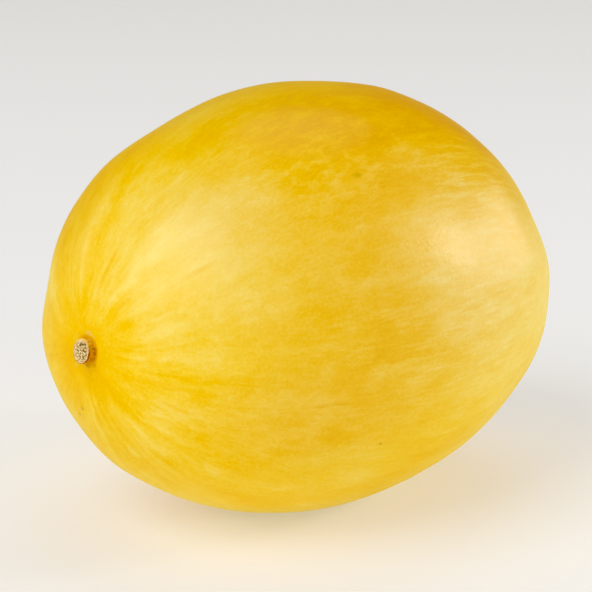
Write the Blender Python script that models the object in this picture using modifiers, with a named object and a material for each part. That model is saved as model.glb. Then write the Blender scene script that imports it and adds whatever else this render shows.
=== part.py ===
"""A whole yellow honeydew melon with the short stub of its cut stem.

The fruit lies on its side on a small flat spot. Its long axis runs along X, with the
stem at -X and the blossom end at +X, and the origin is at the middle of the bottom of
the object's box. Two pieces: the fruit, and the corky stem stub that stands in its dip.
"""

import math

import bmesh
import bpy
from mathutils import Vector

# Driving dimensions, in metres
FRUIT_LENGTH = 0.208
FRUIT_DIAMETER = 0.158
FULLNESS = 0.037  # how far the shoulders stand outside a plain ellipsoid, as a share
REST_FLAT_DEPTH = 0.0020  # how much of the underside the flat resting spot takes off
REST_FLAT_EASE = 0.0016  # height above the flat over which the rind curves away from it

STEM_DIP_DEPTH = 0.0016
STEM_DIP_REACH = 0.0120
COLLAR_RADIUS = 0.0059  # the callus ring that the fruit grew round its stem
COLLAR_HEIGHT = 0.0005
COLLAR_REACH = 0.0010
SEAT_RADIUS = 0.0050  # flat patch inside the collar, where the stem joins

SCAR_DIP_DEPTH = 0.0012  # round the blossom scar
SCAR_DIP_REACH = 0.0100
SCAR_RING_RADIUS = 0.0044
SCAR_RING_HEIGHT = 0.0006
SCAR_RING_REACH = 0.0013

STUB_LENGTH = 0.0034
STUB_RIM_RADIUS = 0.0042
STUB_WAIST_RADIUS = 0.0039
STUB_FOOT_RADIUS = 0.0046
STUB_WIDTH_SHARE = 0.94  # the stub is a little oval
STUB_CUT_SLANT = 10.5  # degrees; the lower side of the cut stands out furthest
STUB_RIB_COUNT = 12
STUB_RIB_HEIGHT = 0.00016
STUB_EDGE = 0.00035  # rounding of its rim and of its foot
FACE_DISH = 0.0003  # the cut face dries a little hollow
FACE_DISH_REACH = 0.0023
PIT_COUNT = 11  # sap vessels in a ring on the cut face
PIT_RING_RADIUS = 0.0028
PIT_RADIUS = 0.00042
PIT_DEPTH = 0.00045
PITH_HOLE_PLACE = (0.0007, 0.0019)  # y and z of the torn hole above the middle
PITH_HOLE_RADIUS = 0.00085
PITH_HOLE_DEPTH = 0.0008
TOUCH_GAP = 0.0003  # between the stub and the fruit

# Lobes: shallow lengthwise swellings that show on the shoulders and fade to the middle
STEM_LOBES = {"count": 9, "height": 0.00035, "turn": 40, "centre": 36, "reach": 16}
BLOSSOM_LOBES = {"count": 10, "height": 0.00025, "turn": 100, "centre": 142, "reach": 18}

# Soft swells and flats of this one fruit, in millimetres and degrees:
# (place along the axis from the middle, turn round the axis from +Y towards +Z,
#  reach along the axis, reach round it, height)
SWELL_THROUGH_REACH = 0.060  # keeps a swell on its own side of the fruit
SWELLS = (
    (75, 133, 26, 24, -1.9),
    (74, 193, 26, 24, 1.2),
    (57, 108, 18, 20, -0.8),
    (40, 93, 16, 20, 0.4),
    (-8, 74, 30, 24, 0.8),
    (-41, 61, 16, 18, -0.6),
    (-60, 52, 15, 18, 1.1),
    (-75, 38, 10, 14, 0.3),
    (-88, 14, 20, 20, -0.2),
    (-90, 337, 18, 18, 1.6),
    (-87, 311, 12, 14, -0.7),
    (-82, 293, 16, 16, 1.5),
    (16, 236, 36, 24, -0.7),
)

RIND_COLOUR = (0.87, 0.60, 0.05)
RIND_ROUGHNESS = 0.42
CORK_COLOUR = (0.62, 0.40, 0.20)
CORK_ROUGHNESS = 0.85

# Mesh fineness
FRUIT_MERIDIANS = 72
FRUIT_RINGS = 58
RING_CROWDING = 0.32  # draws the rings closer together towards both ends
STUB_MERIDIANS = 48
STUB_SHARP_ANGLE = 50  # degrees; edges sharper than this shade as edges

HALF_LENGTH = FRUIT_LENGTH / 2
HALF_WIDTH = FRUIT_DIAMETER / 2


def bump(distance, reach):
    """A smooth hill, 1 at its middle and near 0 past twice its reach."""
    return math.exp(-((distance / reach) ** 2))


def ellipsoid_normal(point):
    squares = (HALF_LENGTH**2, HALF_WIDTH**2, HALF_WIDTH**2)
    return Vector([value / square for value, square in zip(point, squares)]).normalized()


def plain_point(polar, turn):
    """A point of the smooth body. polar is 0 at the stem and pi at the blossom end."""
    across = math.sin(polar) * (1 + FULLNESS * math.cos(polar) ** 2) * HALF_WIDTH
    return Vector((-HALF_LENGTH * math.cos(polar), across * math.cos(turn), across * math.sin(turn)))


def swell_height(point):
    total = 0.0
    for along_mm, turn_deg, reach_along, reach_round, height_mm in SWELLS:
        polar = math.acos(-along_mm / 1000 / HALF_LENGTH)
        centre = plain_point(polar, math.radians(turn_deg))
        normal = ellipsoid_normal(centre)
        along = (Vector((1, 0, 0)) - normal * normal.x).normalized()
        offset = point - centre
        same_side = bump(offset.dot(normal), SWELL_THROUGH_REACH)
        hill = bump(offset.dot(along) * 1000, reach_along)
        hill *= bump(offset.dot(normal.cross(along)) * 1000, reach_round)
        total += height_mm / 1000 * hill * same_side
    return total


def lobe_height(polar, turn, lobes):
    fade = bump(math.degrees(polar) - lobes["centre"], lobes["reach"])
    return lobes["height"] * fade * math.cos(lobes["count"] * turn + math.radians(lobes["turn"]))


def stem_end_height(from_axis):
    dip = STEM_DIP_DEPTH * bump(from_axis, STEM_DIP_REACH)
    return COLLAR_HEIGHT * bump(from_axis - COLLAR_RADIUS, COLLAR_REACH) - dip


def blossom_end_height(from_axis):
    dip = SCAR_DIP_DEPTH * bump(from_axis, SCAR_DIP_REACH)
    return SCAR_RING_HEIGHT * bump(from_axis - SCAR_RING_RADIUS, SCAR_RING_REACH) - dip


def seat_place():
    """X of the flat seat under the stem."""
    return -HALF_LENGTH + STEM_DIP_DEPTH


def fruit_point(polar, turn):
    point = plain_point(polar, turn)
    from_axis = math.hypot(point.y, point.z)
    height = swell_height(point)
    height += lobe_height(polar, turn, STEM_LOBES) + lobe_height(polar, turn, BLOSSOM_LOBES)
    height += stem_end_height(from_axis) if point.x < 0 else blossom_end_height(from_axis)
    point += ellipsoid_normal(point) * height
    if point.x < 0 and from_axis < SEAT_RADIUS:
        point.x = seat_place()
    return point


def surface_material(name, colour, roughness):
    material = bpy.data.materials.new(name)
    material.use_nodes = True
    shader = material.node_tree.nodes["Principled BSDF"]
    shader.inputs["Base Color"].default_value = (*colour, 1)
    shader.inputs["Roughness"].default_value = roughness
    shader.inputs["Metallic"].default_value = 0.0
    material.diffuse_color = (*colour, 1)
    return material


def eased(height):
    """Lays the rind softly down to the flat; nothing changes above REST_FLAT_EASE."""
    share = min(1.0, height / REST_FLAT_EASE)
    return height * share * (2 - share)


def cut_rest_flat(mesh_data):
    """Cuts the underside off flat and closes the cut with one face."""
    shape = bmesh.new()
    shape.from_mesh(mesh_data)
    level = min(vertex.co.z for vertex in shape.verts) + REST_FLAT_DEPTH
    everything = shape.verts[:] + shape.edges[:] + shape.faces[:]
    bmesh.ops.bisect_plane(
        shape, geom=everything, dist=1e-6, plane_co=(0, 0, level), plane_no=(0, 0, -1), clear_outer=True
    )
    rim = [edge for edge in shape.edges if edge.is_boundary]
    bmesh.ops.holes_fill(shape, edges=rim, sides=0)
    for vertex in shape.verts:
        vertex.co.z = level + eased(max(0.0, vertex.co.z - level))
    bmesh.ops.recalc_face_normals(shape, faces=shape.faces[:])
    shape.to_mesh(mesh_data)
    shape.free()


def make_fruit(parts):
    bpy.ops.mesh.primitive_uv_sphere_add(segments=FRUIT_MERIDIANS, ring_count=FRUIT_RINGS, radius=1)
    fruit = bpy.context.object
    fruit.name = "fruit"
    for vertex in fruit.data.vertices:
        even = math.acos(max(-1.0, min(1.0, vertex.co.z)))
        polar = even - RING_CROWDING * math.sin(2 * even)
        turn = math.atan2(-vertex.co.y, vertex.co.x)
        vertex.co = fruit_point(polar, turn)
    cut_rest_flat(fruit.data)
    fruit.data.shade_smooth()
    fruit.data.materials.append(surface_material("waxy_rind", RIND_COLOUR, RIND_ROUGHNESS))
    move_to(fruit, parts)
    return fruit


def stub_profile():
    """(outward, radius) from the middle of the cut face, over the rim and down to the foot.

    outward is the height above the stub's flat base.
    """
    face_steps = 9
    side_steps = 8
    corner_steps = 3
    points = []
    flat_radius = STUB_RIM_RADIUS - STUB_EDGE
    for step in range(face_steps + 1):
        radius = flat_radius * step / face_steps
        points.append((STUB_LENGTH - FACE_DISH * bump(radius, FACE_DISH_REACH), radius))
    for step in range(1, corner_steps + 1):
        turn = math.pi / 2 * step / corner_steps
        outward = STUB_LENGTH - STUB_EDGE * (1 - math.cos(turn))
        points.append((outward, flat_radius + STUB_EDGE * math.sin(turn)))
    for step in range(1, side_steps + 1):
        share = step / side_steps
        straight = STUB_RIM_RADIUS + (STUB_FOOT_RADIUS - STUB_RIM_RADIUS) * share**2
        waist = (STUB_RIM_RADIUS - STUB_WAIST_RADIUS) * math.sin(math.pi * share)
        outward = STUB_LENGTH - STUB_EDGE - (STUB_LENGTH - 2 * STUB_EDGE) * share
        points.append((outward, straight - waist))
    foot_flat = STUB_FOOT_RADIUS - STUB_EDGE
    for step in range(1, corner_steps + 1):
        turn = math.pi / 2 * step / corner_steps
        points.append((STUB_EDGE * (1 - math.sin(turn)), foot_flat + STUB_EDGE * math.cos(turn)))
    points.append((0.0, foot_flat / 2))
    points.append((0.0, 0.0))
    return points


def stub_relief(place):
    """Ribs on the stub's side and pits in its cut face, as (outward, radial) changes."""
    outward, y, z = place
    radius = math.hypot(y, z)
    turn = math.atan2(z, y)
    on_side = STUB_EDGE / 2 < outward < STUB_LENGTH - STUB_EDGE / 2
    if on_side:
        return 0.0, STUB_RIB_HEIGHT * math.cos(STUB_RIB_COUNT * turn)
    if outward < STUB_EDGE or radius > STUB_RIM_RADIUS - STUB_EDGE:
        return 0.0, 0.0
    from_hole = math.hypot(y - PITH_HOLE_PLACE[0], z - PITH_HOLE_PLACE[1])
    depth = PITH_HOLE_DEPTH * bump(from_hole, PITH_HOLE_RADIUS)
    for pit in range(PIT_COUNT):
        angle = math.tau * pit / PIT_COUNT
        pit_y = PIT_RING_RADIUS * math.cos(angle)
        pit_z = PIT_RING_RADIUS * math.sin(angle)
        depth = max(depth, PIT_DEPTH * bump(math.hypot(y - pit_y, z - pit_z), PIT_RADIUS))
    return -depth, 0.0


def make_stem_stub(parts):
    profile = stub_profile()
    mesh_data = bpy.data.meshes.new("stem_stub")
    vertices = [(radius, 0, outward) for outward, radius in profile]
    edges = [(index, index + 1) for index in range(len(profile) - 1)]
    mesh_data.from_pydata(vertices, edges, [])
    stub = bpy.data.objects.new("stem_stub", mesh_data)
    bpy.context.scene.collection.objects.link(stub)
    turned = stub.modifiers.new("turned", "SCREW")
    turned.axis = "Z"
    turned.steps = STUB_MERIDIANS
    turned.render_steps = STUB_MERIDIANS
    turned.use_merge_vertices = True
    turned.merge_threshold = 0.00001
    turned.use_normal_calculate = True
    apply_modifiers(stub)
    shape = bmesh.new()
    shape.from_mesh(stub.data)
    base = seat_place() - TOUCH_GAP
    slant = math.tan(math.radians(STUB_CUT_SLANT))
    for vertex in shape.verts:
        y, z, outward = vertex.co
        deeper, wider = stub_relief((outward, y, z))
        radius = math.hypot(y, z)
        spread = 1 + wider / radius if radius > 0 else 1
        outward -= slant * z * outward / STUB_LENGTH
        vertex.co = (base - outward - deeper, y * spread * STUB_WIDTH_SHARE, z * spread)
    shape.normal_update()
    bmesh.ops.recalc_face_normals(shape, faces=shape.faces[:])
    shape.to_mesh(stub.data)
    shape.free()
    stub.data.shade_smooth()
    stub.data.set_sharp_from_angle(angle=math.radians(STUB_SHARP_ANGLE))
    stub.data.materials.append(surface_material("dry_stem_cork", CORK_COLOUR, CORK_ROUGHNESS))
    move_to(stub, parts)
    return stub


def apply_modifiers(obj):
    graph = bpy.context.evaluated_depsgraph_get()
    finished = bpy.data.meshes.new_from_object(obj.evaluated_get(graph))
    obj.modifiers.clear()
    obj.data = finished


def move_to(obj, collection):
    for holder in list(obj.users_collection):
        holder.objects.unlink(obj)
    collection.objects.link(obj)


def centre_on_origin(objects):
    """Moves the pieces so that the middle of the bottom of their box is at the origin."""
    corners = [vertex.co for obj in objects for vertex in obj.data.vertices]
    low = Vector([min(corner[axis] for corner in corners) for axis in range(3)])
    high = Vector([max(corner[axis] for corner in corners) for axis in range(3)])
    shift = Vector((-(low.x + high.x) / 2, -(low.y + high.y) / 2, -low.z))
    for obj in objects:
        for vertex in obj.data.vertices:
            vertex.co += shift


def main():
    for obj in list(bpy.data.objects):
        bpy.data.objects.remove(obj)
    parts = bpy.data.collections.new("honeydew_melon")
    bpy.context.scene.collection.children.link(parts)
    pieces = [make_fruit(parts), make_stem_stub(parts)]
    centre_on_origin(pieces)


main()
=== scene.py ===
import math
import random

import bmesh
import bpy
import numpy as np
from mathutils import Matrix, Vector


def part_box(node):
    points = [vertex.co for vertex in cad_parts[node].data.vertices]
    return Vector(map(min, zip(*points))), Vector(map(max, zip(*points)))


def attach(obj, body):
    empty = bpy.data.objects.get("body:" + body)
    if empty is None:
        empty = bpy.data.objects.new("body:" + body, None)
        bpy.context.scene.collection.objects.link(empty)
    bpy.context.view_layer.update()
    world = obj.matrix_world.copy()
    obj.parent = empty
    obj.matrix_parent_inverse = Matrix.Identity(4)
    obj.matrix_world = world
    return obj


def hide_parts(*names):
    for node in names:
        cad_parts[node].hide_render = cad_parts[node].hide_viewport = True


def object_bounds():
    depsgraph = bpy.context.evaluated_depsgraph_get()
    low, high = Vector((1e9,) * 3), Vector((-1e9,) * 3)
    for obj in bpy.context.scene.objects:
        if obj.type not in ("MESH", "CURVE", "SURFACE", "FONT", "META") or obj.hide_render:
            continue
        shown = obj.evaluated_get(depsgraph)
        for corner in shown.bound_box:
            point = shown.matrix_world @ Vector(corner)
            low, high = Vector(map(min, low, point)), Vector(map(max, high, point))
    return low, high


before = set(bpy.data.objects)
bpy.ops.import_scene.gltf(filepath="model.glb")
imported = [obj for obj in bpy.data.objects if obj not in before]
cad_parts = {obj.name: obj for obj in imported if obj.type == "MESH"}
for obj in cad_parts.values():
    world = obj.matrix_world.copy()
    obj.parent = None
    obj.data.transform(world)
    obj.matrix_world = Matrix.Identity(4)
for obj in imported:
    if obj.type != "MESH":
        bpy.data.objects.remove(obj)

# A whole yellow honeydew melon on a white table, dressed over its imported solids.
# Everything is in metres. The fruit's long axis runs along X, with the stem at -X.

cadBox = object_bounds()
mm = 0.001
chance = random.Random(7)

# where the fruit and its stem are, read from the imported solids
stubLow, stubHigh = (Vector(corner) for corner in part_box("stem_stub"))
axisPlace = (stubLow + stubHigh) / 2  # the stem stands on the long axis
seatX = stubHigh.x + 0.3 * mm  # the solids leave a gap of 0.3 mm under the stem


def linear(hexColour):
    parts = [int(hexColour[start : start + 2], 16) / 255 for start in (1, 3, 5)]
    return (*[part / 12.92 if part <= 0.04045 else ((part + 0.055) / 1.055) ** 2.4 for part in parts], 1)


def hill(distance, reach):
    return math.exp(-((distance / reach) ** 2))  # 1 in the middle, near 0 past twice the reach


def editAlone(piece):
    if bpy.context.object and bpy.context.object.mode == "EDIT":
        bpy.ops.object.mode_set(mode="OBJECT")
    bpy.ops.object.select_all(action="DESELECT")
    piece.select_set(True)
    bpy.context.view_layer.objects.active = piece
    bpy.ops.object.mode_set(mode="EDIT")
    bpy.ops.mesh.select_mode(type="VERT")
    bpy.ops.mesh.select_all(action="DESELECT")


def pick(piece, wanted):
    # selects the vertices that the test wants, in edit mode
    bpy.ops.mesh.select_all(action="DESELECT")
    shape = bmesh.from_edit_mesh(piece.data)
    for vertex in shape.verts:
        vertex.select = wanted(vertex.co)
    shape.select_flush_mode()
    bmesh.update_edit_mesh(piece.data)


def grab(piece, place, move, reach):
    # pulls the vertex nearest to the place, and its neighbours softly with it
    shape = bmesh.from_edit_mesh(piece.data)
    nearest = min(shape.verts, key=lambda vertex: (vertex.co - place).length_squared)
    spot = nearest.co.copy()
    pick(piece, lambda corner: (corner - spot).length_squared < 1e-14)  # that vertex alone
    bpy.ops.transform.translate(
        value=move, use_proportional_edit=True, proportional_edit_falloff="SMOOTH", proportional_size=reach
    )


def pullRings(name, rings, segments):
    # starts as a small disc across the axis; its rim is then pulled out to one (x, radius) after another
    x, radius = rings[0]
    bpy.ops.object.select_all(action="DESELECT")
    bpy.ops.mesh.primitive_circle_add(
        vertices=segments,
        radius=radius,
        fill_type="TRIFAN",
        location=(x, axisPlace.y, axisPlace.z),
        rotation=(0, math.pi / 2, 0),
    )
    piece = bpy.context.object
    piece.name = name
    piece.data.name = name
    bpy.ops.object.transform_apply(location=True, rotation=True, scale=True)
    editAlone(piece)
    bpy.ops.mesh.select_all(action="SELECT")
    bpy.ops.mesh.region_to_loop()
    for nextX, nextRadius in rings[1:]:
        wider = nextRadius / radius
        bpy.ops.mesh.extrude_edges_move(TRANSFORM_OT_translate={"value": (nextX - x, 0, 0)})
        bpy.ops.transform.resize(value=(1, wider, wider), center_override=(nextX, axisPlace.y, axisPlace.z))
        x, radius = nextX, nextRadius
    bpy.ops.mesh.edge_face_add()
    bpy.ops.mesh.poke()
    bpy.ops.mesh.select_all(action="SELECT")
    bpy.ops.mesh.normals_make_consistent(inside=False)
    return piece


def finishWith(piece, kind, **values):
    modifier = piece.modifiers.new(kind.lower(), kind)
    for name, value in values.items():
        setattr(modifier, name, value)
    bpy.ops.object.select_all(action="DESELECT")
    piece.select_set(True)
    bpy.context.view_layer.objects.active = piece
    bpy.ops.object.modifier_apply(modifier=modifier.name)


def cloudTexture(name, size, depth):
    texture = bpy.data.textures.new(name, "CLOUDS")
    texture.noise_scale = size
    texture.noise_depth = depth
    return texture


fruitShape = {
    "length": 208 * mm,
    "girth": 158 * mm,
    "fullness": 0.037,  # share by which the shoulders stand outside a plain ellipsoid
    "meridians": 88,
    "finestRing": 0.42 * mm,  # ring spacing at both ends, for the collar and the scar
    "coarsestRing": 6.6 * mm,
    "ringGrowth": 1.22,
    "seatRadius": 4.2 * mm,  # the first ring at the stem, and at the blossom scar
    "scarCentre": 0.6 * mm,
    "stemDip": (1.6 * mm, 12.0 * mm),  # depth and reach
    "collar": (5.9 * mm, 0.5 * mm, 1.0 * mm),  # radius, height and reach of the callus round the stem
    "scarDip": (1.2 * mm, 10.0 * mm),
    "scarRing": (4.4 * mm, 0.6 * mm, 1.3 * mm),
    "restLevel": 0.05 * mm,  # what would hang lower than this is pressed flat
    "restEase": 1.6 * mm,  # height over which the rind curves away from the table
    "clearance": 0.01 * mm,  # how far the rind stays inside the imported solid's box
    # lengthwise lobes: how many, height, phase in degrees, and where along the body they are
    # strongest and how far they reach, in degrees from the stem
    "lobes": ((9, 0.35 * mm, 40, 36, 16), (10, 0.25 * mm, 100, 142, 18)),
    # fine puckers that run in to the stem and to the blossom scar: which end, how many, depth,
    # distance from the axis and reach
    "puckers": ((-1, 27, 0.045 * mm, 9.5 * mm, 3.6 * mm), (1, 19, 0.22 * mm, 7.5 * mm, 3.0 * mm)),
    "unevenness": (22 * mm, 0.5 * mm),  # size and depth of the soft dents all over
    # how this one fruit differs from a turned shape: mm along the axis from the middle,
    # turn round the axis in degrees from +Y towards +Z, reach of the pull in mm, height in mm
    "swells": (
        (75, 133, 41.6, -1.76),
        (74, 193, 41.6, 1.25),
        (57, 108, 31.6, -0.73),
        (40, 93, 30.0, 0.53),
        (-8, 74, 45.0, 0.97),
        (-41, 61, 28.3, -0.36),
        (-60, 52, 27.5, 1.18),
        (-75, 38, 20.0, 0.38),
        (-90, 337, 30.0, 1.62),
        (-87, 311, 21.6, -0.52),
        (-82, 293, 26.6, 1.64),
        (16, 236, 49.0, -0.55),
        (84, 225, 36.0, 0.45),
        (-50, 262, 45.0, 0.19),
    ),
}

halfLength = fruitShape["length"] / 2
halfGirth = fruitShape["girth"] / 2
bodyMiddle = Vector((seatX - fruitShape["stemDip"][0] + halfLength, axisPlace.y, axisPlace.z))


def bodyPoint(polar, turn):
    # the smooth body, from the body's middle; polar is 0 at the stem and pi at the blossom end
    across = math.sin(polar) * (1 + fruitShape["fullness"] * math.cos(polar) ** 2) * halfGirth
    return Vector((-halfLength * math.cos(polar), across * math.cos(turn), across * math.sin(turn)))


def outward(point):
    return Vector((point.x / halfLength**2, point.y / halfGirth**2, point.z / halfGirth**2)).normalized()


def endRelief(point):
    # the dip and ring at each end, as a height over the smooth body
    fromAxis = math.hypot(point.y, point.z)
    dip, ring = ("stemDip", "collar") if point.x < 0 else ("scarDip", "scarRing")
    depth, reach = fruitShape[dip]
    radius, height, width = fruitShape[ring]
    return height * hill(fromAxis - radius, width) - depth * hill(fromAxis, reach)


def ringsToMiddle(firstRadius):
    # polar angles from one end to the middle, close together at the end
    polar = math.asin(firstRadius / halfGirth)
    gap = fruitShape["finestRing"]
    places = [polar]
    while polar < math.pi / 2:
        polar += gap / math.hypot(halfLength * math.sin(polar), halfGirth * math.cos(polar))
        gap = min(gap * fruitShape["ringGrowth"], fruitShape["coarsestRing"])
        places.append(polar)
    fit = (math.pi / 2 - places[0]) / (places[-1] - places[0])
    return [places[0] + (place - places[0]) * fit for place in places]


def settleRind(fruit):
    # lobes and puckers, then the flat that it rests on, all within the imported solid's box
    spots = np.empty(len(fruit.data.vertices) * 3, dtype=np.float32)
    fruit.data.vertices.foreach_get("co", spots)
    spots = spots.reshape(-1, 3).astype(float) - np.array(bodyMiddle)
    fromStem = np.degrees(np.arccos(np.clip(-spots[:, 0] / halfLength, -1, 1)))
    turn = np.arctan2(spots[:, 2], spots[:, 1])
    fromAxis = np.hypot(spots[:, 1], spots[:, 2])
    height = np.zeros(len(spots))
    for count, rise, phase, centre, reach in fruitShape["lobes"]:
        fade = np.exp(-(((fromStem - centre) / reach) ** 2))
        height += rise * fade * np.cos(count * turn + math.radians(phase))
    for side, count, depth, radius, reach in fruitShape["puckers"]:
        fade = np.exp(-(((fromAxis - radius) / reach) ** 2)) * (spots[:, 0] * side > 0)
        # some folds are deeper than others and stand closer together, and each one is narrow
        uneven = 0.6 + 0.4 * np.sin(5 * turn + side) * np.sin(3 * turn + 1)
        fold = 0.5 + 0.5 * np.cos(count * turn + 1.3 * np.sin(4 * turn))
        height -= depth * fade * uneven * fold**3
    outwards = spots / np.array((halfLength**2, halfGirth**2, halfGirth**2))
    outwards /= np.linalg.norm(outwards, axis=1)[:, None]
    spots += outwards * height[:, None] + np.array(bodyMiddle)

    lift = np.clip(spots[:, 2] - fruitShape["restLevel"], 0, None)
    share = np.minimum(1, lift / fruitShape["restEase"])
    spots[:, 2] = fruitShape["clearance"] + lift * share * (2 - share)
    for axis in range(3):
        for corner, sign in zip(cadBox, (-1, 1)):
            room = (corner[axis] - bodyMiddle[axis]) * sign - fruitShape["clearance"]
            reach = (spots[:, axis] - bodyMiddle[axis]) * sign
            if reach.max() > room:
                half = reach > 0
                spots[half, axis] = bodyMiddle[axis] + reach[half] * room / reach.max() * sign
    fruit.data.vertices.foreach_set("co", spots.astype(np.float32).ravel())
    fruit.data.update()


def makeFruit():
    stemSide = ringsToMiddle(fruitShape["seatRadius"])
    blossomSide = [math.pi - polar for polar in ringsToMiddle(fruitShape["scarCentre"])]
    rings = []
    for polar in stemSide + blossomSide[-2::-1]:
        point = bodyPoint(polar, 0)
        point += outward(point) * endRelief(point)
        rings.append((bodyMiddle.x + point.x, point.y))
    rings.insert(0, (seatX, rings[0][1] - fruitShape["finestRing"]))
    fruit = pullRings("melonFruit", rings, fruitShape["meridians"])
    for along, turn, reach, height in fruitShape["swells"]:
        place = bodyPoint(math.acos(-along * mm / halfLength), math.radians(turn))
        grab(fruit, bodyMiddle + place, outward(place) * height * mm, reach * mm)
    pick(fruit, lambda corner: corner.z < fruitShape["restLevel"])
    bpy.ops.transform.resize(value=(1, 1, 0), center_override=(0, 0, fruitShape["restLevel"]))
    bpy.ops.object.mode_set(mode="OBJECT")
    finishWith(fruit, "SUBSURF", levels=2, render_levels=2)
    size, depth = fruitShape["unevenness"]
    finishWith(
        fruit,
        "DISPLACE",
        texture=cloudTexture("rindUnevenness", size, 2),
        texture_coords="LOCAL",
        strength=depth,
        mid_level=0.5,
    )
    settleRind(fruit)
    fruit.data.shade_smooth()
    return fruit


stubShape = {
    "length": 3.4 * mm,
    "sunk": 0.5 * mm,  # how far its foot stands in the seat
    "slant": 10.5,  # degrees; the lower side of the cut stands out furthest
    "rimRadius": 4.45 * mm,
    "waistRadius": 4.2 * mm,
    "footRadius": 4.25 * mm,
    "edge": 0.35 * mm,  # radius of the rounded edge of the cut
    "dish": (0.15 * mm, 2.3 * mm),  # depth and reach of the hollow that the cut face dries to
    "segments": 60,
    "cutRings": 14,  # edge loops on the cut face, its rounded edge and the side
    "edgeRings": 3,
    "sideRings": 10,
    "widthShare": 0.97,
    "ribStart": 0.6,  # share of the edge's radius from which the ribs begin
    "ribDepth": 0.045,  # share of the radius by which every other line of fibres stands back
    "grain": (0.7 * mm, 0.16 * mm),  # size and depth of the cork's unevenness
    # sap vessels in rings on the cut face: how many, how far out, depth, reach
    "pits": ((12, 2.35 * mm, 0.75 * mm, 0.55 * mm), (9, 3.1 * mm, 0.6 * mm, 0.45 * mm)),
    # how far each strays: in shares of the step between two, of the ring's radius and of the depth
    "pitTurn": (-0.3, 0.3),
    "pitRadius": (0.85, 1.12),
    "pitDepth": (0.6, 1.1),
    # y and z, from the axis, of the torn hollow above the middle
    "tornHole": ((1.0 * mm, 1.7 * mm), (0.6 * mm, 2.4 * mm), (-0.4 * mm, 2.2 * mm), (-1.4 * mm, 2.4 * mm)),
    "tornDepth": 0.5 * mm,
    "tornReach": 0.8 * mm,
}


def makeStub():
    reach = stubShape["rimRadius"] - stubShape["edge"]
    dishDepth, dishReach = stubShape["dish"]
    profile = []  # (height over the seat, radius), from the middle of the cut face out and down
    for step in range(1, stubShape["cutRings"] + 1):
        radius = reach * step / stubShape["cutRings"]
        profile.append((stubShape["length"] - dishDepth * hill(radius, dishReach), radius))
    for step in range(1, stubShape["edgeRings"] + 1):
        turn = math.radians(90 * step / stubShape["edgeRings"])
        height = stubShape["length"] - stubShape["edge"] * (1 - math.cos(turn))
        profile.append((height, reach + stubShape["edge"] * math.sin(turn)))
    for step in range(1, stubShape["sideRings"] + 1):
        share = step / stubShape["sideRings"]
        waist = (stubShape["rimRadius"] - stubShape["waistRadius"]) * math.sin(math.pi * share)
        flare = (stubShape["footRadius"] - stubShape["rimRadius"]) * share**2
        height = (stubShape["length"] - stubShape["edge"]) * (1 - share) - stubShape["sunk"] * share
        profile.append((height, stubShape["rimRadius"] + flare - waist))
    profile.append((-stubShape["sunk"], 0.5 * mm))  # the underside closes towards the axis
    rings = [(seatX - height, radius) for height, radius in profile]
    stub = pullRings("stemStub", rings, stubShape["segments"])
    fibreStep = math.tau / stubShape["segments"]

    def isFurrow(corner):
        fromAxis = math.hypot(corner.y - axisPlace.y, corner.z - axisPlace.z)
        line = round(math.atan2(corner.z - axisPlace.z, corner.y - axisPlace.y) / fibreStep)
        return fromAxis > reach + stubShape["edge"] * stubShape["ribStart"] and line % 2 == 1

    def onCut(y, z):
        return Vector((seatX - stubShape["length"], axisPlace.y + y, axisPlace.z + z))

    pick(stub, isFurrow)
    narrower = 1 - stubShape["ribDepth"]
    bpy.ops.transform.resize(value=(1, narrower, narrower), center_override=axisPlace)
    for count, ringRadius, depth, pitReach in stubShape["pits"]:
        for pit in range(count):
            turn = math.tau * (pit + chance.uniform(*stubShape["pitTurn"])) / count
            radius = ringRadius * chance.uniform(*stubShape["pitRadius"])
            inwards = depth * chance.uniform(*stubShape["pitDepth"])
            grab(stub, onCut(radius * math.cos(turn), radius * math.sin(turn)), (inwards, 0, 0), pitReach)
    for y, z in stubShape["tornHole"]:
        grab(stub, onCut(y, z), (stubShape["tornDepth"], 0, 0), stubShape["tornReach"])
    bpy.ops.mesh.select_all(action="SELECT")
    bpy.ops.transform.resize(value=(1, stubShape["widthShare"], 1), center_override=axisPlace)
    bpy.ops.object.mode_set(mode="OBJECT")
    slant = math.tan(math.radians(stubShape["slant"]))
    for vertex in stub.data.vertices:
        share = (seatX - vertex.co.x) / stubShape["length"]
        vertex.co.x += slant * (vertex.co.z - axisPlace.z) * share
    finishWith(stub, "SUBSURF", levels=2, render_levels=2)
    size, depth = stubShape["grain"]
    finishWith(
        stub,
        "DISPLACE",
        texture=cloudTexture("corkGrain", size, 2),
        texture_coords="LOCAL",
        strength=depth,
        mid_level=0.5,
    )
    stub.data.shade_smooth()
    return stub


def addNode(tree, kind, settings=None, links=None):
    # one node, its settings by attribute, and its inputs by value or by the socket that feeds them
    node = tree.nodes.new(kind)
    for name, value in (settings or {}).items():
        setattr(node, name, value)
    for key, value in (links or {}).items():
        if isinstance(value, bpy.types.Node):
            value = value.outputs[0]
        if isinstance(value, bpy.types.NodeSocket):
            tree.links.new(value, node.inputs[key])
        else:
            node.inputs[key].default_value = value
    return node


def newMaterial(name):
    material = bpy.data.materials.new(name)
    material.use_nodes = True
    return material, material.node_tree, material.node_tree.nodes["Principled BSDF"]


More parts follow.
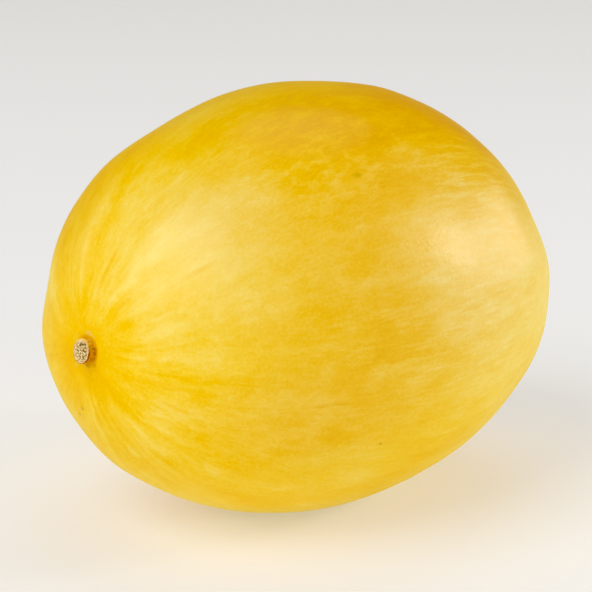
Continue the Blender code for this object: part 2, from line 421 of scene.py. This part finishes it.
# A melon's rind is a hard skin under a thin natural wax: satin, not glossy, and full of soft
# clouds where the yellow below the wax is deeper. Places are in mm from the fruit's middle.
rindFinish = {
    # how golden a spot is, and its colour: lemon, or creamier towards the blossom end and over the lit front,
    # where the creamier colours are partly paler rind and partly a painted whitish sheen round the highlight
    "colours": (
        (-0.50, "#fee890", "#fee9a6"),
        (-0.05, "#fddf6c", "#fddf86"),
        (0.32, "#fad036", "#fad05c"),
        (0.60, "#f7c300", "#f7c338"),
        (1.10, "#ecab00", "#ecab14"),
    ),
    "overall": 0.43,
    "zoneEdge": 1.7,  # how many reaches from its middle a zone has faded out
    # place, reach in mm along x, y, z, and how much more golden or paler its middle is
    "zones": (
        ((-100, -8, 1), (18, 43, 25), 0.62),  # gold where the stem fed it
        ((-90, -14, 34), (24, 45, 49), -0.65),  # pale cheek above the stem
        ((-68, -38, 48), (20, 19, 39), -0.45),
        ((-14, -35, 64), (57, 39, 58), 0.53),  # deep saddle over the top
        ((48, -22, 47), (36, 55, 49), 0.69),
        ((-35, -47, 55), (31, 24, 19), -0.15),
        ((-64, 5, 26), (38, 71, 30), 0.62),
        ((-45, -56, 0), (53, 25, 22), 0.54),  # golden belt below the cheek
        ((-46, -56, -31), (76, 17, 22), 0.56),
        ((-32, -61, -43), (22, 20, 17), -0.36),
        ((40, -59, 13), (57, 25, 72), -0.48),  # pale flank towards the blossom end
        ((52, -56, -22), (30, 28, 24), 0.20),
        ((-97, -26, -5), (11, 19, 28), -0.39),
        ((-62, -57, -8), (34, 17, 63), -0.50),
        ((-91, 17, 10), (15, 39, 12), -0.38),
        ((-3, -12, -76), (63, 25, 31), -0.65),  # creamy spot that it lay on in the field
        ((20, 70, 20), (50, 34, 40), 0.30),  # the flank away from the camera
        ((-50, 66, -10), (34, 26, 34), -0.25),
        ((88, 30, -20), (30, 40, 36), -0.22),
    ),
    # the same for how much of the creamier colours a spot takes: partly paler rind, and partly painted sheen
    # on the lit front where the highlight falls
    "creamAndSheenZones": (
        # painted sheen in part: this first zone lies over the lit front, round the highlight
        ((-2, -72, 24), (75, 48, 44), 1.1),
        ((85, -10, 0), (45, 62, 55), 1.1),
        ((62, -54, -38), (36, 30, 26), 0.4),
        ((10, 75, 15), (60, 40, 40), 0.6),
        ((-56, -62, -22), (44, 30, 20), 0.6),
        ((-66, -33, 48), (28, 24, 18), 0.5),
        ((-10, -59, 52), (30, 22, 20), 0.4),
    ),
    "streaks": ((12.0, 30.0, 1.0), (4.6, 22.0, 0.5)),  # degrees wide, mm long, how strong
    "streakStart": (10.0, 21.0),  # mm from the axis over which the streaks come in
    "streakEnd": (-58.0, -94.0),  # mm along the axis over which they fade
    "streakLeft": 0.1,  # share of them that goes on to the other end
    "streakWander": (14.0, 9.0, 0.16),  # mm along and round over which they wander, and how far
    # mm along the fruit and round it, detail, how strong, and whether they follow the meridians;
    # the last is the grain of the skin
    "clouds": (
        (26.0, 14.0, 2.5, 0.62, False),
        (14.0, 5.0, 3.0, 0.25, True),
        (6.0, 1.5, 3.0, 0.18, True),
        (1.3, 0.9, 2.0, 0.46, False),
    ),
    "cloudRoughness": 0.6,
    # how much of the streaks and clouds is left, all over and on the smooth cheek above the stem
    "mottled": (1.05, (((-84, -28, 35), (24, 22, 24), -0.5),)),
    # pale flecks where the wax lies thicker: mm along and round, detail, whether they follow the
    # meridians, from where to where they come in, how strong all over, and zones of stronger ones
    "flecks": (
        (12.0, 5.5, 4.0, False, (0.50, 0.70), 0.11, ()),
        (10.0, 2.2, 3.0, True, (0.53, 0.70), 0.08, ()),
        (7.0, 3.6, 5.0, False, (0.46, 0.60), 0.02, (((-20, -34, 68), (52, 36, 30), 0.20),)),
        (
            15.0,
            1.9,
            4.0,
            True,
            (0.46, 0.62),
            0.02,
            (((34, -52, 48), (32, 30, 22), 0.30), ((4, -78, 2), (58, 34, 30), 0.16)),
        ),
    ),
    "fleckRoughness": 0.62,
    # fine pores and shallow dimples that make the skin look like orange peel: mm apart, mm deep
    "peel": ((0.9, 0.06), (4.0, 0.10)),
    "endFrom": (40.0, 60.0),  # mm from the middle over which an end's rings come in
    # corky rings at the ends: side, inner and outer mm from the axis, colour, strength
    "rings": (
        (-1, 4.0, 4.9, "#d39422", 0.6),
        (1, 4.2, 6.2, "#d8b064", 0.65),
        (1, 2.2, 3.6, "#a98048", 0.7),
        (1, 0.4, 1.5, "#5f4328", 0.85),
    ),
    "ragged": (0.9, 0.5, 1.2),  # mm along and round of the unevenness of edges, and how far it goes
    "markDepth": 8.0,  # mm into the rind, so that a long mark stays on its curve
    "markEdge": (1.0, 1.8),  # in shares of a mark's size, from where to where it fades
    # place, length along the fruit, width round it in mm, colour, strength
    "marks": (
        ((-102.9, -0.8, 5.9), 1.2, 2.0, "#eac46c", 0.55),  # callus fragments round the stem; the two darker ones below it are partly callus and partly a painted shadow under the stub
        ((-102.9, -3.4, 5.1), 0.9, 1.1, "#eab458", 0.5),
        ((-102.6, 7.1, -6.9), 1.3, 1.0, "#f2c458", 0.5),
        # darker below the stem: partly callus, partly painted shadow under the stub
        ((-102.9, 0.2, -6.0), 0.9, 1.6, "#c68a14", 0.6),
        ((-102.9, -3.4, -5.0), 0.8, 1.2, "#d68d18", 0.6),
        ((-96.9, -4.7, 28.5), 11.0, 1.1, "#f8bf00", 0.55),  # golden veins that run out from the stem
        ((-100.0, -13.9, 16.9), 6.0, 1.0, "#f8bf00", 0.5),
        ((-100.6, -17.0, 11.6), 4.5, 1.6, "#f8bf00", 0.55),
        ((-83.6, -35.8, 30.9), 7.0, 1.2, "#f8c200", 0.4),
        ((-94.6, -32.2, -7.7), 13.5, 1.2, "#f8bf00", 0.45),
        ((-92.0, -33.5, -15.6), 7.5, 1.1, "#f8bf00", 0.4),
        ((-49.3, -68.2, -15.9), 7.0, 0.8, "#ecb200", 0.5),
        ((-55.5, -65.4, -16.0), 3.2, 0.7, "#eab000", 0.5),
        ((-24.0, -51.7, 57.5), 1.9, 1.2, "#9a8410", 0.28),  # scuffs and specks
        ((-28.2, -67.9, -35.3), 0.7, 0.7, "#a86e14", 0.45),
        ((-98.3, 9.1, -24.2), 1.1, 0.8, "#b07a2a", 0.6),
        ((-96.0, 13.3, -27.6), 0.9, 0.7, "#b07a2a", 0.6),
        ((30.0, 64.0, 44.0), 3.2, 1.0, "#a58a1e", 0.6),
        ((-10.0, 60.0, -45.0), 1.2, 1.0, "#8a5a10", 0.7),
        ((62.0, 20.0, -52.0), 6.0, 0.5, "#b08a1c", 0.5),
    ),
    "roughness": 0.29,
    "ior": 1.45,
    "specular": 0.36,
}


def waxyRind():
    material, tree, shader = newMaterial("waxyMelonRind")
    place = addNode(tree, "ShaderNodeTexCoord").outputs["Object"]
    place = addNode(tree, "ShaderNodeVectorMath", {"operation": "SUBTRACT"}, {0: place, 1: bodyMiddle})
    place = addNode(tree, "ShaderNodeVectorMath", {"operation": "SCALE"}, {0: place, "Scale": 1 / mm})
    parts = addNode(tree, "ShaderNodeSeparateXYZ", None, {0: place})
    spoke = addNode(tree, "ShaderNodeCombineXYZ", None, {1: parts.outputs[1], 2: parts.outputs[2]})
    fromAxis = addNode(tree, "ShaderNodeVectorMath", {"operation": "LENGTH"}, {0: spoke}).outputs["Value"]
    around = addNode(tree, "ShaderNodeVectorMath", {"operation": "NORMALIZE"}, {0: spoke})

    def noise(vector, detail, roughness=0.55):
        links = {"Vector": vector, "Scale": 1.0, "Detail": detail, "Roughness": roughness}
        return addNode(tree, "ShaderNodeTexNoise", None, links)

    def stretched(along, across, spot=place):
        size = (1 / along, 1 / across, 1 / across)
        return addNode(tree, "ShaderNodeVectorMath", {"operation": "MULTIPLY"}, {0: spot, 1: size})

    def zoned(value, zones):
        for centre, reach, strength in zones:
            apart = addNode(tree, "ShaderNodeVectorMath", {"operation": "SUBTRACT"}, {0: place, 1: centre})
            share = [1 / (length * rindFinish["zoneEdge"]) for length in reach]
            apart = addNode(tree, "ShaderNodeVectorMath", {"operation": "MULTIPLY"}, {0: apart, 1: share})
            apart = addNode(tree, "ShaderNodeVectorMath", {"operation": "LENGTH"}, {0: apart})
            links = {"Value": apart.outputs["Value"], "To Min": strength, "To Max": 0.0}
            zone = addNode(tree, "ShaderNodeMapRange", {"interpolation_type": "SMOOTHERSTEP"}, links)
            value = addNode(tree, "ShaderNodeMath", {"operation": "ADD"}, {0: zone, 1: value})
        return value

    # the same places laid out along the meridians, which run from the stem to the blossom end
    middleGirth = fruitShape["girth"] / 2 / mm
    middleLength = fruitShape["length"] / 2 / mm
    links = {0: fromAxis, 1: middleLength / middleGirth}
    stemwards = addNode(tree, "ShaderNodeMath", {"operation": "MULTIPLY"}, links)
    back = addNode(tree, "ShaderNodeMath", {"operation": "MULTIPLY"}, {0: parts.outputs[0], 1: -1.0})
    polar = addNode(tree, "ShaderNodeMath", {"operation": "ARCTAN2"}, {0: stemwards, 1: back})
    polar = addNode(tree, "ShaderNodeMath", {"operation": "MULTIPLY"}, {0: polar, 1: middleLength})
    polar = addNode(tree, "ShaderNodeCombineXYZ", None, {0: polar})
    links = {0: around, 1: (middleGirth,) * 3, 2: polar}
    meridian = addNode(tree, "ShaderNodeVectorMath", {"operation": "MULTIPLY_ADD"}, links)

    # how golden each spot is: soft zones first
    golden = zoned(rindFinish["overall"], rindFinish["zones"])

    # then streaks: spokes that start a little off the stem, wander and fade over the shoulder
    along, across, sway = rindFinish["streakWander"]
    wander = noise(stretched(along, across), 2.0).outputs[1]
    wander = addNode(tree, "ShaderNodeVectorMath", {"operation": "SUBTRACT"}, {0: wander, 1: (0.5,) * 3})
    links = {0: wander, 1: (sway,) * 3, 2: around}
    around = addNode(tree, "ShaderNodeVectorMath", {"operation": "MULTIPLY_ADD"}, links)
    start, full = rindFinish["streakStart"]
    links = {"Value": fromAxis, "From Min": start, "From Max": full}
    streakIn = addNode(tree, "ShaderNodeMapRange", None, links)
    end, full = rindFinish["streakEnd"]
    links = {"Value": parts.outputs[0], "From Min": end, "From Max": full}
    links |= {"To Min": rindFinish["streakLeft"]}
    streakOut = addNode(tree, "ShaderNodeMapRange", None, links)
    streakShare = addNode(tree, "ShaderNodeMath", {"operation": "MULTIPLY"}, {0: streakIn, 1: streakOut})
    patterns = []
    for width, length, depth in rindFinish["streaks"]:
        perTurn = 1 / math.radians(width)
        slow = addNode(tree, "ShaderNodeMath", {"operation": "DIVIDE"}, {0: parts.outputs[0], 1: length})
        slow = addNode(tree, "ShaderNodeCombineXYZ", None, {0: slow})
        links = {0: around, 1: (perTurn,) * 3, 2: slow}
        fan = addNode(tree, "ShaderNodeVectorMath", {"operation": "MULTIPLY_ADD"}, links)
        share = addNode(tree, "ShaderNodeMath", {"operation": "MULTIPLY"}, {0: streakShare, 1: depth})
        patterns.append((noise(fan, 3.0), share))
    # last the clouds and the grain, all longer along the fruit than round it
    for along, across, detail, depth, curved in rindFinish["clouds"]:
        spot = stretched(along, across, meridian if curved else place)
        patterns.append((noise(spot, detail, rindFinish["cloudRoughness"]), depth))
    mottled = zoned(*rindFinish["mottled"])
    for pattern, depth in patterns:
        depth = addNode(tree, "ShaderNodeMath", {"operation": "MULTIPLY"}, {0: mottled, 1: depth})
        centred = addNode(tree, "ShaderNodeMath", {"operation": "SUBTRACT"}, {0: pattern, 1: 0.5})
        links = {0: centred, 1: depth, 2: golden}
        golden = addNode(tree, "ShaderNodeMath", {"operation": "MULTIPLY_ADD"}, links)
    for along, across, detail, curved, (low, high), depth, places in rindFinish["flecks"]:
        spot = stretched(along, across, meridian if curved else place)
        pattern = noise(spot, detail, rindFinish["fleckRoughness"])
        links = {"Value": pattern, "From Min": low, "From Max": high, "To Max": zoned(depth, places)}
        fleck = addNode(tree, "ShaderNodeMapRange", {"interpolation_type": "SMOOTHSTEP"}, links)
        golden = addNode(tree, "ShaderNodeMath", {"operation": "SUBTRACT"}, {0: golden, 1: fleck})

    def blend(share, first, second):
        links = {0: share, 6: first, 7: second}
        return addNode(tree, "ShaderNodeMix", {"data_type": "RGBA"}, links).outputs[2]

    # share of the creamier colours: partly paler rind, partly painted sheen round the highlight
    creamAndSheenShare = zoned(0.0, rindFinish["creamAndSheenZones"])
    colour = None
    for high, lemon, creamAndSheenColour in rindFinish["colours"]:
        step = blend(creamAndSheenShare, linear(lemon), linear(creamAndSheenColour))
        if colour:
            links = {"Value": golden, "From Min": low, "From Max": high}
            step = blend(addNode(tree, "ShaderNodeMapRange", None, links), colour, step)
        colour, low = step, high

    # scuffs and specks, each with a ragged edge
    along, across, stray = rindFinish["ragged"]
    ragged = noise(stretched(along, across), 3.0)
    ragged = addNode(tree, "ShaderNodeMath", {"operation": "MULTIPLY"}, {0: ragged, 1: stray})
    inside, outside = rindFinish["markEdge"]
    for centre, along, across, hexColour, strength in rindFinish["marks"]:
        # its own frame lies on the rind, x along the fruit, so that it follows the curve
        lie = outward(Vector(centre)).to_track_quat("Z", "Y").to_matrix()
        lengthways = (Vector((1, 0, 0)) - lie.col[2] * lie.col[2].x).normalized()
        lie = Matrix((lengthways, lie.col[2].cross(lengthways), lie.col[2])).transposed().to_euler()
        size = (along, across, rindFinish["markDepth"])
        links = {"Vector": place, "Location": centre, "Rotation": lie, "Scale": size}
        apart = addNode(tree, "ShaderNodeMapping", {"vector_type": "TEXTURE"}, links)
        apart = addNode(tree, "ShaderNodeVectorMath", {"operation": "LENGTH"}, {0: apart}).outputs["Value"]
        apart = addNode(tree, "ShaderNodeMath", {"operation": "ADD"}, {0: apart, 1: ragged})
        links = {"Value": apart, "From Min": inside, "From Max": outside, "To Min": strength, "To Max": 0.0}
        mark = addNode(tree, "ShaderNodeMapRange", None, links)
        colour = blend(mark, colour, linear(hexColour))
    ragged = addNode(tree, "ShaderNodeMath", {"operation": "ADD"}, {0: ragged, 1: fromAxis})
    start, full = rindFinish["endFrom"]
    for side, inner, outer, hexColour, strength in rindFinish["rings"]:
        # the unevenness adds half its range on average
        links = {"Value": ragged, "From Min": inner + stray / 2, "From Max": outer + stray / 2}
        links |= {"To Min": strength, "To Max": 0.0}
        ring = addNode(tree, "ShaderNodeMapRange", {"interpolation_type": "SMOOTHSTEP"}, links)
        links = {"Value": parts.outputs[0], "From Min": side * start, "From Max": side * full}
        thisEnd = addNode(tree, "ShaderNodeMapRange", None, links)
        ring = addNode(tree, "ShaderNodeMath", {"operation": "MULTIPLY"}, {0: ring, 1: thisEnd})
        colour = blend(ring, colour, linear(hexColour))
    tree.links.new(colour, shader.inputs["Base Color"])

    relief = None
    for spacing, depth in rindFinish["peel"]:
        links = {"Height": noise(stretched(spacing, spacing), 2.0), "Distance": depth * mm}
        if relief:
            links["Normal"] = relief
        relief = addNode(tree, "ShaderNodeBump", None, links)
    tree.links.new(relief.outputs[0], shader.inputs["Normal"])
    shader.inputs["Roughness"].default_value = rindFinish["roughness"]
    shader.inputs["IOR"].default_value = rindFinish["ior"]
    shader.inputs["Specular IOR Level"].default_value = rindFinish["specular"]
    return material


# The stem dried to cork. Its cut is pale dry fibre, dark deeper than the face: partly where the sap vessels
# have dried back, partly painted shade in the pits and the torn hollow. Its bark is brown under the rim and
# orange where it joins the fruit. Lengths are in mm.
stubFinish = {
    "cut": "#f8dfa6",
    "cutRim": "#f6d09c",
    "cutBrown": "#c48f4c",
    "cutBlotch": (0.8, 0.55),  # size of the brown blotches into the cut and across it
    "blotchFrom": (0.48, 0.66),  # from where to where in their noise they come in
    "cutSpeck": (0.4, 0.5),  # size of the dark dots and their detail
    "speckFrom": (0.52, 0.61),
    "speck": "#64431a",
    # the dark of dried vessels and of painted shade in the pits and the torn hollow
    "pit": "#60401c",
    "driedPitAndShadeFrom": (0.22, 0.52),  # below the cut face, where the dark comes in: dried vessels and painted shade in the hollows
    "barkDark": "#8e5416",
    "barkMiddle": "#e2952e",
    "barkFoot": "#f0aa40",
    "barkUpper": "#fac64e",
    "upperFrom": (0.0, 3.6),  # height over the axis from where to where the bark turns golden
    "barkFrom": (0.35, 1.0, 2.4),  # below the cut face: dark, middle, foot
    "fibre": (3.0, 0.45),  # size of the dark fibres along the bark and round it
    "fibreFrom": (0.44, 0.26),
    "rimRadius": (3.3, 4.7),  # from the axis, where the smoother rim of the cut begins
    "edgeRadius": (4.25, 4.5),  # where the cut ends and the bark begins
    "edgeRagged": (0.7, 0.6),  # size of the unevenness of both, and how far it goes
    "grain": (0.5, 0.2, 0.1),  # size along and across, and depth
    "roughness": 0.85,
    "specular": 0.25,
}


def stemCork():
    material, tree, shader = newMaterial("dryStemCork")
    place = addNode(tree, "ShaderNodeTexCoord").outputs["Object"]
    face = axisPlace.copy()
    face.x = seatX - stubShape["length"]
    place = addNode(tree, "ShaderNodeVectorMath", {"operation": "SUBTRACT"}, {0: place, 1: face})
    place = addNode(tree, "ShaderNodeVectorMath", {"operation": "SCALE"}, {0: place, "Scale": 1 / mm})
    parts = addNode(tree, "ShaderNodeSeparateXYZ", None, {0: place})
    slant = math.tan(math.radians(stubShape["slant"]))
    links = {0: parts.outputs[2], 1: -slant, 2: parts.outputs[0]}
    below = addNode(tree, "ShaderNodeMath", {"operation": "MULTIPLY_ADD"}, links)
    links = {0: parts.outputs[1], 1: stubShape["widthShare"]}
    width = addNode(tree, "ShaderNodeMath", {"operation": "DIVIDE"}, links)
    spoke = addNode(tree, "ShaderNodeCombineXYZ", None, {1: width, 2: parts.outputs[2]})
    fromAxis = addNode(tree, "ShaderNodeVectorMath", {"operation": "LENGTH"}, {0: spoke}).outputs["Value"]

    def noise(along, across, detail):
        size = (1 / along, 1 / across, 1 / across)
        scaled = addNode(tree, "ShaderNodeVectorMath", {"operation": "MULTIPLY"}, {0: place, 1: size})
        return addNode(tree, "ShaderNodeTexNoise", None, {"Vector": scaled, "Scale": 1.0, "Detail": detail})

    def blend(value, low, high, first, second):
        share = addNode(tree, "ShaderNodeMapRange", None, {"Value": value, "From Min": low, "From Max": high})
        links = {0: share, 6: first, 7: second}
        return addNode(tree, "ShaderNodeMix", {"data_type": "RGBA"}, links).outputs[2]

    fibres = noise(*stubFinish["fibre"], 3.0)
    darkTo, middleAt, footAt = stubFinish["barkFrom"]
    bark = blend(below, darkTo, middleAt, linear(stubFinish["barkDark"]), linear(stubFinish["barkMiddle"]))
    bark = blend(below, middleAt, footAt, bark, linear(stubFinish["barkFoot"]))
    bark = blend(parts.outputs[2], *stubFinish["upperFrom"], bark, linear(stubFinish["barkUpper"]))
    bark = blend(fibres, *stubFinish["fibreFrom"], bark, linear(stubFinish["barkDark"]))
    blotches = noise(*stubFinish["cutBlotch"], 3.0)
    shades = linear(stubFinish["cut"]), linear(stubFinish["cutBrown"])
    cut = blend(blotches, *stubFinish["blotchFrom"], *shades)
    size, detail = stubFinish["cutSpeck"]
    cut = blend(noise(size, size, detail), *stubFinish["speckFrom"], cut, linear(stubFinish["speck"]))
    size, depth = stubFinish["edgeRagged"]
    links = {0: noise(size, size, 2.0), 1: depth, 2: fromAxis}
    edge = addNode(tree, "ShaderNodeMath", {"operation": "MULTIPLY_ADD"}, links)
    cut = blend(edge, *stubFinish["rimRadius"], cut, linear(stubFinish["cutRim"]))
    # darker deeper than the cut face: dried vessels, and painted shade in the pits and the torn hollow
    cut = blend(below, *stubFinish["driedPitAndShadeFrom"], cut, linear(stubFinish["pit"]))
    colour = blend(edge, *stubFinish["edgeRadius"], cut, bark)
    tree.links.new(colour, shader.inputs["Base Color"])
    along, across, depth = stubFinish["grain"]
    links = {"Height": noise(along, across, 3.0), "Distance": depth * mm}
    relief = addNode(tree, "ShaderNodeBump", None, links)
    tree.links.new(relief.outputs[0], shader.inputs["Normal"])
    shader.inputs["Roughness"].default_value = stubFinish["roughness"]
    shader.inputs["Specular IOR Level"].default_value = stubFinish["specular"]
    return material


studio = {
    "cameraTurn": -44.08,  # degrees round the fruit, 0 looks along +Y
    "cameraRise": 15.12,
    "cameraDistance": 0.829,
    "lens": 135,
    "aside": (-2.59 * mm, -0.34 * mm),  # where the camera aims, right and up of the body's middle
    "roomLight": 0.5,
    # each colour as the camera sees it, and as the wax reflects it: warm, as from gold cards
    "roomColour": ("#dcdcdc", "#ffdc98"),
    "tableColour": ("#dedede", "#deda9b"),
    "glowColour": ("#ffffff", "#fffbb0"),
    "tableSize": 12,  # metres
    "tableRoughness": 0.8,
    "tableGlow": 0.26,  # a lit white table, so that it stays pale under the fruit
    "blackLevel": (0.002, 0.005, 0.027),  # takes off the veil that reflections lay on deep yellow
    # name: degrees to the camera's right, degrees up, distance, width and height in metres, watts
    "softboxes": {
        "keySoftbox": (-46, 40, 2.4, 1.8, 1.8, 27.5),
        "topSoftbox": (170, 64, 2.4, 1.4, 1.4, 5.6),
        "fillSoftbox": (4, 14, 2.8, 1.6, 1.6, 8.4),
        "edgeSoftbox": (114, 8, 2.6, 1.8, 1.0, 14.5),
        "leftSoftbox": (-112, 18, 2.6, 1.6, 1.0, 3.0),
        "stripSoftbox": (92, 20, 1.0, 0.14, 0.26, 1.5),
    },
}


def inReflections(tree, seen, reflected):
    # one colour for the camera and the diffuse light, another in the wax's reflections
    glossyRay = addNode(tree, "ShaderNodeLightPath").outputs["Is Glossy Ray"]
    links = {0: glossyRay, 6: linear(seen), 7: linear(reflected)}
    return addNode(tree, "ShaderNodeMix", {"data_type": "RGBA"}, links).outputs[2]


def direction(turn, rise):
    turn, rise = math.radians(turn), math.radians(rise)
    return Vector((math.sin(turn) * math.cos(rise), -math.cos(turn) * math.cos(rise), math.sin(rise)))


def makeStudio():
    bpy.ops.object.select_all(action="DESELECT")
    bpy.ops.mesh.primitive_plane_add(size=studio["tableSize"], location=(0, 0, 0))
    floor = bpy.context.object
    floor.name = "studioTable"
    material, tree, shader = newMaterial("mattWhiteTable")
    tree.links.new(inReflections(tree, *studio["tableColour"]), shader.inputs["Base Color"])
    shader.inputs["Roughness"].default_value = studio["tableRoughness"]
    tree.links.new(inReflections(tree, *studio["glowColour"]), shader.inputs["Emission Color"])
    shader.inputs["Emission Strength"].default_value = studio["tableGlow"]
    floor.data.materials.append(material)

    back = direction(studio["cameraTurn"], studio["cameraRise"])
    right = Vector((-back.y, back.x, 0)).normalized()
    aim = bodyMiddle + right * studio["aside"][0] + back.cross(right) * studio["aside"][1]
    bpy.ops.object.camera_add(location=aim + back * studio["cameraDistance"])
    camera = bpy.context.object
    camera.name = "frontCamera"
    camera.rotation_euler = back.to_track_quat("Z", "Y").to_euler()
    camera.data.lens = studio["lens"]
    camera.data.sensor_width = 36
    bpy.context.scene.camera = camera

    for name, (turn, rise, distance, width, height, watts) in studio["softboxes"].items():
        towards = direction(studio["cameraTurn"] + turn, rise)
        bpy.ops.object.light_add(type="AREA", location=bodyMiddle + towards * distance)
        softbox = bpy.context.object
        softbox.name = name
        softbox.rotation_euler = towards.to_track_quat("Z", "Y").to_euler()
        softbox.data.shape = "RECTANGLE"
        softbox.data.size, softbox.data.size_y = width, height
        softbox.data.energy = watts

    world = bpy.data.worlds.new("softRoom")
    world.use_nodes = True
    background = world.node_tree.nodes["Background"]
    roomColour = inReflections(world.node_tree, *studio["roomColour"])
    world.node_tree.links.new(roomColour, background.inputs["Color"])
    background.inputs["Strength"].default_value = studio["roomLight"]
    bpy.context.scene.world = world
    view = bpy.context.scene.view_settings
    view.view_transform = "Standard"
    view.use_curve_mapping = True
    view.curve_mapping.black_level = studio["blackLevel"]


fruit = makeFruit()
print("fruit shaped:", len(fruit.data.polygons), "faces")
stub = makeStub()
print("stem stub shaped:", len(stub.data.polygons), "faces")
fruit.data.materials.append(waxyRind())
stub.data.materials.append(stemCork())
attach(fruit, "root")
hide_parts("fruit")
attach(stub, "root")
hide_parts("stem_stub")
makeStudio()
print("studio set")
